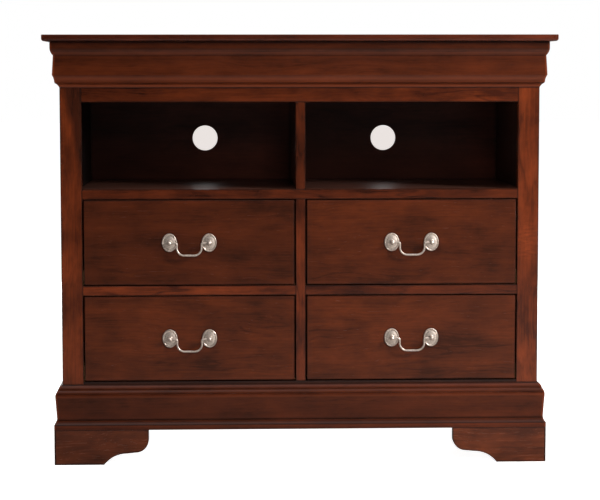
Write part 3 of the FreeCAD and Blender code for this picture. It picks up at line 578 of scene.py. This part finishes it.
def board_wear(tree, place, slot, name):
    """Where a board is darkened, by glaze, dark figure and painted shade, and where it is paler, by stain
    rubbed thin, pale figure and painted highlights.
    """
    # Glaze and painted shade where other surfaces shut a board in
    corner = corner_mask(tree, GLAZE_AND_SHADE_REACH)
    edge = edge_mask(tree, EDGE_REACH)
    profile = name.split("_")[0] if slot == "stained_moulding" else name
    # Painted shade and glaze along level lines of the mouldings and under the cornice
    if profile in SHADE_AND_GLAZE_LINES:
        corner = calc(tree, "MAXIMUM", corner, at_heights(tree, place, SHADE_AND_GLAZE_LINES[profile]))
    # Painted highlights and stain rubbed thin along the crowns of the mouldings
    if profile in RUBS_AND_HIGHLIGHTS:
        edge = calc(tree, "MAXIMUM", edge, at_heights(tree, place, RUBS_AND_HIGHLIGHTS[profile]))
    if slot in EDGE_GLAZED:
        corner = calc(tree, "MAXIMUM", corner, calc(tree, "MULTIPLY", edge, EDGE_HOLDS))
        edge = 0.0
    if name == "left_stile":
        corner = calc(tree, "MAXIMUM", corner, dark_figure(tree, place))
    if name == "right_stile":
        edge = curly_figure(tree, place)
    return corner, edge


def board_colour(tree, place, name, colour):
    """A board's colour with painted light and shade spread across it."""
    if name not in PAINTED_LIGHT_SPREADS:
        return colour
    factor = painted_light_spread(tree, place, *PAINTED_LIGHT_SPREADS[name])
    if name == "back_panel":
        factor = only_before(tree, place, factor, BACK_PANEL_MIDDLE)
    return scaled(tree, colour, factor)


def wood(slot, name, grain, cut):
    """A board's own material, from its slot's finish, its own tone, figure and wear, and the light and
    shade painted into it.
    """
    made = WOODS[slot]
    # The board's own stain, and in some boards painted light and shade
    tone = STAIN_AND_SHADE_TONES.get(name, 1.0)
    material, tree, output, place = new_material(f"{slot}_{name}")
    grains = board_grain(tree, place, made["rings"], grain, cut)
    corner, edge = board_wear(tree, place, slot, name)
    finish = use(tree, WOOD_FINISH, {
        "Rings": grains["Rings"], "Streaks": grains["Streaks"], "Pores": grains["Pores"],
        "Blotches": grains["Blotches"], "Wisps": grains["Wisps"], "Corner": corner, "Edge": edge,
        "Pale": tinted(made["pale"], tone), "Deep": tinted(made["deep"], tone), "Glaze": made["glaze"],
        "Glaze Amount": made["stayed"], "Rub And Highlight": made["rub"], "Gloss": made["gloss"],
        "Streak Contrast": STREAK_CONTRAST * made["figure"],
        "Blotch Contrast": BLOTCH_CONTRAST * made["figure"],
        "Wisp Contrast": WISP_CONTRAST * made["figure"] ** 2,
    })
    bump = add(tree, "ShaderNodeBump", {
        "Strength": made["relief"], "Distance": WOOD_RELIEF, "Height": finish["Height"],
    })
    shader = add(tree, "ShaderNodeBsdfPrincipled", {
        "Base Color": board_colour(tree, place, name, finish["Color"]), "Roughness": finish["Roughness"],
        "Normal": bump.outputs[0], "Specular IOR Level": made["shine"],
    })
    tree.links.new(shader.outputs[0], output.inputs["Surface"])
    return material


BRIGHT_NICKEL = srgb(255, 238, 224)
DARK_NICKEL = srgb(120, 101, 92)
NICKEL_RELIEF = 0.1 * MM


def nickel():
    """The pulls' satin antique nickel."""
    material, tree, output, place = new_material("satin_nickel")
    finish = use(tree, PATINA, {
        "Vector": place, "Corner": corner_mask(tree, TARNISH_REACH), "Bright": BRIGHT_NICKEL,
        "Dark": DARK_NICKEL, "Gloss": 0.34,
    })
    bump = add(tree, "ShaderNodeBump", {
        "Strength": 0.15, "Distance": NICKEL_RELIEF, "Height": finish["Height"],
    })
    shader = add(tree, "ShaderNodeBsdfPrincipled", {
        "Base Color": finish["Color"], "Roughness": finish["Roughness"], "Normal": bump.outputs[0],
        "Metallic": 0.87,
    })
    tree.links.new(shader.outputs[0], output.inputs["Surface"])
    return material


# Boards: which way each one's grain runs

GRAIN_X = ["top_board", "cornice_front", "base_front", "top_rail", "shelf_rail", "left_mid_rail",
           "right_mid_rail", "bottom_rail", "shelf_board", "bottom_panel", "back_panel"]
GRAIN_Y = ["cornice_left", "cornice_right", "base_left", "base_right", "cubby_side_liners",
           "outer_drawer_runners", "inner_drawer_runners"]
GRAIN_Z = ["left_stile", "right_stile", "left_side_panel", "right_side_panel", "cubby_divider",
           "drawer_partition"]
for drawer in DRAWERS:
    GRAIN_X += [f"{drawer}_front", f"{drawer}_back", f"{drawer}_bottom"]
    GRAIN_Y += [f"{drawer}_left_side", f"{drawer}_right_side"]
GRAINS = {**dict.fromkeys(GRAIN_X, "x"), **dict.fromkeys(GRAIN_Y, "y"), **dict.fromkeys(GRAIN_Z, "z")}
FEET = ["front_left_foot", "front_right_foot", "rear_right_foot", "rear_left_foot"]
# How far sharp edges are eased, and how thick a foot's brackets are
EASE = 0.5 * MM
FOOT_BOARD = 19 * MM
# How many boards' cuts apart in the log two feet are
FOOT_CUT = 2.3


def make_boards():
    """Every board and moulding, with its edges eased and its own cut of wood."""
    for cut, (node, grain) in enumerate(GRAINS.items()):
        piece = ease_edges(join_triangles(copy_of(node, f"eased_{node}")), EASE)
        finish_with(piece, wood(SLOTS[node], node, grain, cut))
        stand_for(piece, node)


def foot_boards(node):
    """Finds a foot's glue block and its board along X by where they lie from its outer corner."""
    low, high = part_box(node)
    out_x = low.x if low.x < 0 else high.x
    out_y = low.y if low.y < 0 else high.y
    mitred = low.y < 0

    def in_block(spot):
        return abs(spot.x - out_x) > FOOT_BOARD and abs(spot.y - out_y) > FOOT_BOARD

    def in_cross_board(spot):
        along = abs(spot.x - out_x)
        return along > (abs(spot.y - out_y) if mitred else FOOT_BOARD)

    return in_block, in_cross_board


def make_feet():
    """Each foot's two brackets, and the glue block behind them, with grain along each board."""
    for cut, node in enumerate(FEET):
        in_block, in_cross_board = foot_boards(node)
        side = copy_of(node, f"{node}_side_bracket")
        block = split_off(side, in_block, f"{node}_glue_block")
        cross = split_off(side, in_cross_board, f"{node}_cross_bracket")
        for board, grain in ((side, "y"), (block, "z"), (cross, "x")):
            ease_edges(join_triangles(board), EASE)
            finish_with(board, wood(SLOTS[node], board.name, grain, FOOT_CUT * cut))
        stand_for(cross, node, side, block)


# Pulls


def loop_of(name, centre, rings, sides):
    """A closed turned or oval ring, drawn out from its first loop: (half width, half height, forward)."""
    half_width, half_height, forward = rings[0]
    spot = Vector(centre) - Vector((0, forward, 0))
    bpy.ops.mesh.primitive_circle_add(vertices=sides, radius=1, fill_type="NOTHING", location=spot,
                                      rotation=(RIGHT_ANGLE, 0, 0))
    piece = bpy.context.active_object
    piece.name = name
    piece.data.name = name
    piece.scale = (half_width, half_height, 1)
    bpy.ops.object.transform_apply(location=True, rotation=True, scale=True)
    bpy.ops.object.mode_set(mode="EDIT")
    bpy.ops.mesh.select_all(action="SELECT")
    for (wide, tall, out), (next_wide, next_tall, next_out) in zip(rings, rings[1:]):
        bpy.ops.mesh.extrude_region_move(TRANSFORM_OT_translate={"value": (0, out - next_out, 0)})
        bpy.ops.transform.resize(value=(next_wide / wide, 1, next_tall / tall), center_override=centre)
    bpy.ops.mesh.select_all(action="SELECT")
    bpy.ops.mesh.remove_doubles(threshold=MERGE_WITHIN)
    bpy.ops.mesh.normals_make_consistent(inside=False)
    bpy.ops.object.mode_set(mode="OBJECT")
    bpy.ops.object.shade_smooth_by_angle(angle=SMOOTH_UNDER)
    return piece


# A rosette's section, in millimetres: its rim, from the back out and over, as how far inside the outline
# and how far forward, and the boss round its bolt, as radius and forward
ROSETTE_RIM = [(0.0, 0.0), (0.0, 1.3), (0.25, 2.1), (0.7, 2.5), (1.2, 2.6), (1.7, 2.45), (2.1, 1.9),
               (2.4, 1.4), (2.8, 1.2)]
ROSETTE_BOSS = [(5.3, 2.4), (4.9, 2.75), (4.4, 2.95), (3.8, 3.0)]
BOLT_HOLE = 2.7 * MM
# The domed field between them, with a low ridge on every third loop
FIELD_INSET = 3.3 * MM
FIELD_INNER = 5.4 * MM
FIELD_LOW = 1.25 * MM
FIELD_RISE = 1.15 * MM
FIELD_STEPS = 12
FIELD_RIDGE = 0.1 * MM
ROSETTE_SIDES = 72


def rosette_rings(half_width, half_height):
    """A rosette's section, from its bolt hole round the back, over the rim and up the domed field."""
    rings = [(BOLT_HOLE, BOLT_HOLE, 0.0)]
    for inset, forward in ROSETTE_RIM:
        rings.append((half_width - inset * MM, half_height - inset * MM, forward * MM))
    outer = half_width - FIELD_INSET
    taller = half_height / half_width - 1
    for step in range(FIELD_STEPS):
        share = step / FIELD_STEPS
        wide = outer + (FIELD_INNER - outer) * share
        oval = 1 + taller * (wide - BOLT_HOLE) / (half_width - BOLT_HOLE)
        forward = FIELD_LOW + FIELD_RISE * math.sin(RIGHT_ANGLE * share)
        if step % 3 == 2:
            forward += FIELD_RIDGE
        rings.append((wide, wide * oval, forward))
    for radius, forward in ROSETTE_BOSS:
        rings.append((radius * MM, radius * MM, forward * MM))
    top = rings[-1][2]
    return rings + [(BOLT_HOLE, BOLT_HOLE, top), (BOLT_HOLE, BOLT_HOLE, 0.0)]


def swept_bar(name, stations, sides):
    """A round bar through stations of (place, turn about Y, radius), each ring drawn from the last."""
    place, turn, radius = stations[0]
    bpy.ops.mesh.primitive_circle_add(vertices=sides, radius=radius, fill_type="NGON", location=place,
                                      rotation=(0, RIGHT_ANGLE + turn, 0))
    piece = bpy.context.active_object
    piece.name = name
    piece.data.name = name
    bpy.ops.object.transform_apply(location=True, rotation=True, scale=True)
    bpy.ops.object.mode_set(mode="EDIT")
    bpy.ops.mesh.select_all(action="SELECT")
    # Without a window rotate turns the other way, so it is given each turn with its sign changed
    for (place, turn, radius), (next_place, next_turn, next_radius) in zip(stations, stations[1:]):
        bpy.ops.mesh.extrude_region_move(TRANSFORM_OT_translate={"value": next_place - place})
        bpy.ops.transform.rotate(value=turn - next_turn, orient_axis="Y", center_override=next_place)
        grown = next_radius / radius
        bpy.ops.transform.resize(value=(grown, grown, grown), center_override=next_place)
    bpy.ops.mesh.select_all(action="SELECT")
    bpy.ops.mesh.normals_make_consistent(inside=False)
    bpy.ops.object.mode_set(mode="OBJECT")
    bpy.ops.object.shade_smooth_by_angle(angle=SMOOTH_UNDER)
    return piece


# The bail: how far its legs stand from its middle, and the radii of its knees and of its lower bends
BAIL_LEG = 24.6 * MM
BAIL_KNEE = 3.5 * MM
BAIL_BEND = 15 * MM
KNEE_STEPS = 6
BEND_STEPS = 12
BAIL_SIDES = 24
# How thick it is, in shares of its wire's radius: at its pins, beside the ball heads, at its knees and how
# much they swell, down its legs, at its lower bends and how much they grow, and at places along its bar
PIN_THICK = 0.9
KNEE_THICK = 0.95
KNEE_SWELL = 0.2
LEG_THICK = 0.88
BEND_THICK = 0.86
BEND_GROWTH = 0.06
BAR_THICK = [(0.4, 0.97), (0.75, 1.0), (1.0, 1.0)]


def half_bail(pin, drop, wire):
    """Stations from the left pin over the knee, down the leg and round to the middle of the bar."""
    pin_end = Vector((-pin, 0, 0))
    knee = Vector((-BAIL_LEG - BAIL_KNEE, 0, 0))
    stations = [(pin_end, 0.0, wire * PIN_THICK), (pin_end.lerp(knee, 0.6), 0.0, wire * KNEE_THICK)]
    for step in range(KNEE_STEPS + 1):
        share = step / KNEE_STEPS
        angle = RIGHT_ANGLE * share
        spot = knee + BAIL_KNEE * Vector((math.sin(angle), 0, math.cos(angle) - 1))
        stations.append((spot, angle, wire * (KNEE_THICK + KNEE_SWELL * math.sin(math.pi * share))))
    leg_top = stations[-1][0]
    leg_foot = Vector((-BAIL_LEG, 0, BAIL_BEND - drop))
    stations.append((leg_top.lerp(leg_foot, 0.5), RIGHT_ANGLE, wire * LEG_THICK))
    for step in range(BEND_STEPS + 1):
        share = step / BEND_STEPS
        angle = RIGHT_ANGLE * (1 - share)
        spot = leg_foot + BAIL_BEND * Vector((1 - math.sin(angle), 0, -math.cos(angle)))
        stations.append((spot, angle, wire * (BEND_THICK + BEND_GROWTH * share)))
    bar_end = stations[-1][0]
    for share, thick in BAR_THICK:
        stations.append((Vector((bar_end.x * (1 - share), 0, bar_end.z)), 0.0, wire * thick))
    return stations


def bail_stations(pivot, pin, drop, wire):
    """Half of the bail and then its mirror image, hung from the pivot."""
    half = half_bail(pin, drop, wire)
    other = []
    for spot, turn, radius in reversed(half[:-1]):
        other.append((Vector((-spot.x, 0, spot.z)), -turn, radius))
    return [(pivot + spot, turn, radius) for spot, turn, radius in half + other]


def make_rosettes(drawer):
    """A drawer's left and right rosettes, of the frame's sizes and in its places."""
    low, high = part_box(f"{drawer}_rosettes")
    posts_low, posts_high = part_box(f"{drawer}_posts")
    post_width = posts_high.z - posts_low.z
    apart = posts_high.x - posts_low.x - post_width
    half_width = (high.x - low.x - apart) / 2
    rings = rosette_rings(half_width, (high.z - low.z) / 2)
    face = high.y
    middle = (low.z + high.z) / 2
    left = (low.x + half_width, face, middle)
    right = (high.x - half_width, face, middle)
    return (loop_of(f"{drawer}_left_rosette", left, rings, ROSETTE_SIDES),
            loop_of(f"{drawer}_right_rosette", right, rings, ROSETTE_SIDES))


def make_bail(drawer):
    """A drawer's bail, hung between the middles of its rosettes."""
    rosettes_low, rosettes_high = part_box(f"{drawer}_rosettes")
    low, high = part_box(f"{drawer}_bail")
    middle = (rosettes_low + rosettes_high) / 2
    pivot = Vector((middle.x, (low.y + high.y) / 2, middle.z))
    pin = (high.x - low.x) / 2
    wire = (high.y - low.y) / 2
    drop = middle.z - low.z - wire
    return swept_bar(f"{drawer}_bail_bar", bail_stations(pivot, pin, drop, wire), BAIL_SIDES)


def make_posts(drawer):
    """A drawer's two posts with their ball heads, bolts and nuts, which keep the frame's shapes."""
    posts = join_triangles(copy_of(f"{drawer}_posts", f"{drawer}_turned_posts"))
    bpy.ops.object.shade_smooth_by_angle(angle=SHARP_OVER)
    return posts


def make_pulls(metal):
    """On each drawer two rosettes, a bail and two posts, all of one metal."""
    for drawer in DRAWERS:
        left, right = make_rosettes(drawer)
        bail = make_bail(drawer)
        posts = make_posts(drawer)
        for piece in (left, right, bail, posts):
            finish_with(piece, metal)
        stand_for(left, f"{drawer}_rosettes", right)
        stand_for(bail, f"{drawer}_bail")
        stand_for(posts, f"{drawer}_posts")


# Stage, camera and light


PALE_PAINT = (0.8, 0.8, 0.8, 1)
BLACK = (0, 0, 0, 1)
WHITE = (1, 1, 1, 1)
PAINTED_SHADOW_GREY = (0.72, 0.66, 0.63, 1)
WARM_WHITE = (1.0, 0.93, 0.87, 1)
# The painted shadow's middle in a floor whose depth is shrunk by these factors, and where its grey ends
FLOOR_SHRUNK = (1.0, 0.25, 1.0)
GREY_MIDDLE = (0.7, 5.5, 0.0)
GREY_WITHIN = 1.9
WHITE_BEYOND = 2.9
FLOOR_GLOW = 0.92
FLOOR_SIZE = 60


def seen_floor(tree, ray, place):
    """What the camera sees: white, but for a painted grey shadow far behind that only the cable outlets
    show.
    """
    away = add(tree, "ShaderNodeVectorMath", {0: stretched(tree, place, FLOOR_SHRUNK), 1: GREY_MIDDLE},
               operation="DISTANCE")
    white = remap(tree, away.outputs["Value"], GREY_WITHIN, WHITE_BEYOND)
    seen = calc(tree, "MAXIMUM", ray["Is Camera Ray"], ray["Is Transmission Ray"])
    return add(tree, "ShaderNodeEmission", {
        "Color": blend(tree, white, PAINTED_SHADOW_GREY, WHITE), "Strength": calc(tree, "MULTIPLY", seen, FLOOR_GLOW),
    }).outputs[0]


def painted_floor_reflection(tree, ray, place):
    """Painted reflection for lacquer and nickel: a glow only reflections see, brighter to the right as if
    lit from there, with painted shade near the chest, and dim far out.
    """
    spot = split_place(tree, place)
    rightward = remap(tree, spot["X"], -0.9, 1.1, 0.42, 1.66)
    near = remap(tree, spot["Y"], -1.0, -0.3, 1.0, 0.45)
    far = remap(tree, spot["Y"], -6.0, -1.5, 0.05, 0.47)
    strength = calc(tree, "MULTIPLY", rightward, calc(tree, "MULTIPLY", near, far))
    return add(tree, "ShaderNodeEmission", {
        "Color": WARM_WHITE, "Strength": calc(tree, "MULTIPLY", ray["Is Glossy Ray"], strength),
    }).outputs[0]


def make_floor():
    """A pale floor that takes a soft shadow, and glows apart for the camera and, as a painted reflection,
    for lacquer and nickel.
    """
    bpy.ops.mesh.primitive_plane_add(size=FLOOR_SIZE, location=(0, 0, 0))
    floor = bpy.context.active_object
    floor.name = "floor"
    material, tree, output, place = new_material("pale_floor")
    ray = tree.nodes.new("ShaderNodeLightPath").outputs
    paint = blend(tree, ray["Is Glossy Ray"], PALE_PAINT, BLACK)
    lit = add(tree, "ShaderNodeBsdfDiffuse", {"Color": paint})
    glow = add(tree, "ShaderNodeAddShader", {0: seen_floor(tree, ray, place),
                                             1: painted_floor_reflection(tree, ray, place)})
    whole = add(tree, "ShaderNodeAddShader", {0: lit.outputs[0], 1: glow.outputs[0]})
    tree.links.new(whole.outputs[0], output.inputs["Surface"])
    floor.data.materials.append(material)


def make_world():
    """A dim even room, mirrored as white behind and above the chest and nearly dark behind the camera."""
    world = bpy.data.worlds.new("studio")
    bpy.context.scene.world = world
    world.use_nodes = True
    tree = world.node_tree
    tree.nodes.clear()
    output = tree.nodes.new("ShaderNodeOutputWorld")
    ray = tree.nodes.new("ShaderNodeLightPath").outputs
    way = split_place(tree, tree.nodes.new("ShaderNodeTexCoord").outputs["Generated"])
    rightward = remap(tree, way["X"], -0.15, 0.2, 0.0, 0.11)
    back = remap(tree, way["Y"], -0.2, 0.4, rightward, 1.0)
    above = remap(tree, way["Z"], 0.6, 0.9, 0.0, 0.9)
    mirrored = calc(tree, "MULTIPLY", calc(tree, "MAXIMUM", back, above), ray["Is Glossy Ray"])
    seen = calc(tree, "MAXIMUM", ray["Is Camera Ray"], ray["Is Transmission Ray"])
    lit = calc(tree, "MULTIPLY", ray["Is Diffuse Ray"], 0.2)
    strength = calc(tree, "MAXIMUM", calc(tree, "MAXIMUM", seen, mirrored), lit)
    sky = add(tree, "ShaderNodeBackground", {"Color": WHITE, "Strength": strength})
    tree.links.new(sky.outputs[0], output.inputs["Surface"])


def make_lamp(name, place, aim, size, power, mirrored=True):
    """A square soft lamp that faces a point, and shows in reflections or doesn't."""
    bpy.ops.object.light_add(type="AREA", location=place)
    lamp = bpy.context.active_object
    lamp.name = name
    lamp.data.shape = "SQUARE"
    lamp.data.size = size
    lamp.data.energy = power
    lamp.visible_glossy = mirrored
    lamp.rotation_euler = (Vector(aim) - Vector(place)).to_track_quat("-Z", "Y").to_euler()


def make_lights():
    """A key lamp on the right, the only one in reflections, and four that fill in from other sides."""
    make_lamp("key_lamp", (2.05, -1.75, 1.60), (0, -0.2, 0.45), 0.6, 82)
    make_lamp("top_lamp", (-0.5, -0.95, 2.7), (0, -0.2, 0.6), 1.4, 24, mirrored=False)
    make_lamp("fill_lamp", (0.3, -4.6, 1.9), (0, 0, 0.6), 1.0, 40, mirrored=False)
    make_lamp("back_lamp", (0, 3.5, 0.5), (0, 0.2, 0.45), 1.0, 70, mirrored=False)
    make_lamp("left_lamp", (-3.2, 0.35, 0.9), (-0.5, 0.1, 0.45), 1.0, 50, mirrored=False)


# The camera of the photograph, fitted to the chest's edges: its place, and how far it is turned to the
# right, tipped down and rolled, in radians
CAMERA_PLACE = (-0.1450, -4.1986, 0.7728)
CAMERA_TURN = 0.03578
CAMERA_TIP = 0.08563
CAMERA_ROLL = -0.00101
CAMERA_LENS = 121.3
SENSOR_WIDTH = 36


def make_camera():
    """The photograph's view, from a little left of the middle, just under the top's height."""
    camera = bpy.data.cameras.new("camera")
    camera.lens = CAMERA_LENS
    camera.sensor_width = SENSOR_WIDTH
    shooter = bpy.data.objects.new("camera", camera)
    bpy.context.scene.collection.objects.link(shooter)
    aimed = Euler((RIGHT_ANGLE - CAMERA_TIP, 0, -CAMERA_TURN)).to_matrix().to_4x4()
    rolled = Matrix.Rotation(CAMERA_ROLL, 4, "Z")
    shooter.matrix_world = Matrix.Translation(CAMERA_PLACE) @ aimed @ rolled
    bpy.context.scene.camera = shooter


# The whole scene

make_camera()
make_boards()
make_feet()
make_pulls(nickel())
make_floor()
make_world()
make_lights()
bpy.context.scene.view_settings.view_transform = "Standard"
